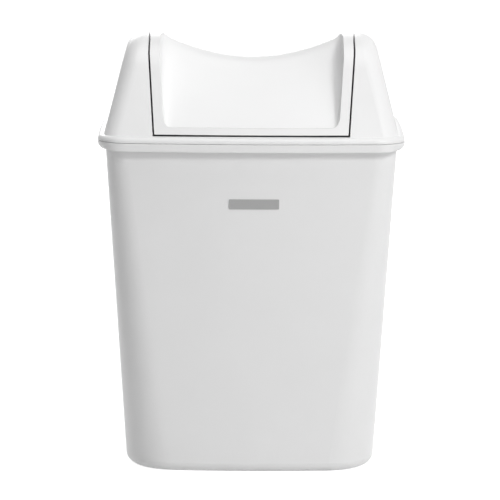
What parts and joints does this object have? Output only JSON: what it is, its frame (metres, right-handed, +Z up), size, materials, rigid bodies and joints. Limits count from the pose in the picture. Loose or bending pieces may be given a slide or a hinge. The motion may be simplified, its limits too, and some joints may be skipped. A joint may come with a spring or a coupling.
{
  "type": "sanitary bin",
  "caption": "Small tapered floor bin with a rolled rim, a roof-shaped lift-off hood and a scooped saddle flap that swings both ways.",
  "frame": {"origin": "bottom centre of the bucket's standing ring, on the floor", "axes": "+Z up, -Y towards the front with the plate, +X to the right seen from the front"},
  "size_m": [0.265, 0.1798, 0.3772],
  "materials": {
    "white_plastic": "moulded polypropylene, white, satin gloss",
    "plate_grey": "thin bare plate, plain grey, satin",
    "pin_plastic": "moulded acetal, natural white"
  },
  "bodies": {
    "bucket": {"bucket": "white_plastic", "front_plate": "plate_grey"},
    "hood": {"hood": "white_plastic"},
    "flap": {"flap": "white_plastic", "pivot_pin_left": "pin_plastic", "pivot_pin_right": "pin_plastic"},
    "bag_ring": {"bag_ring": "white_plastic"}
  },
  "joints": [
    {"name": "hood_lift", "type": "slide", "parent": "bucket", "child": "hood", "axis": [0, 0, 1], "range_m": [0, 0.15]},
    {"name": "flap_swing", "type": "hinge", "parent": "hood", "child": "flap", "pos_m": [0, 0, 0.362], "axis": [1, 0, 0], "range_deg": [-60, 60]},
    {"name": "bag_ring_lift", "type": "slide", "parent": "bucket", "child": "bag_ring", "axis": [0, 0, 1], "range_m": [0, 0.075]}
  ],
  "couplings": [
    {"joint": "bag_ring_lift", "follows": "hood_lift", "ratio": 0.5}
  ]
}
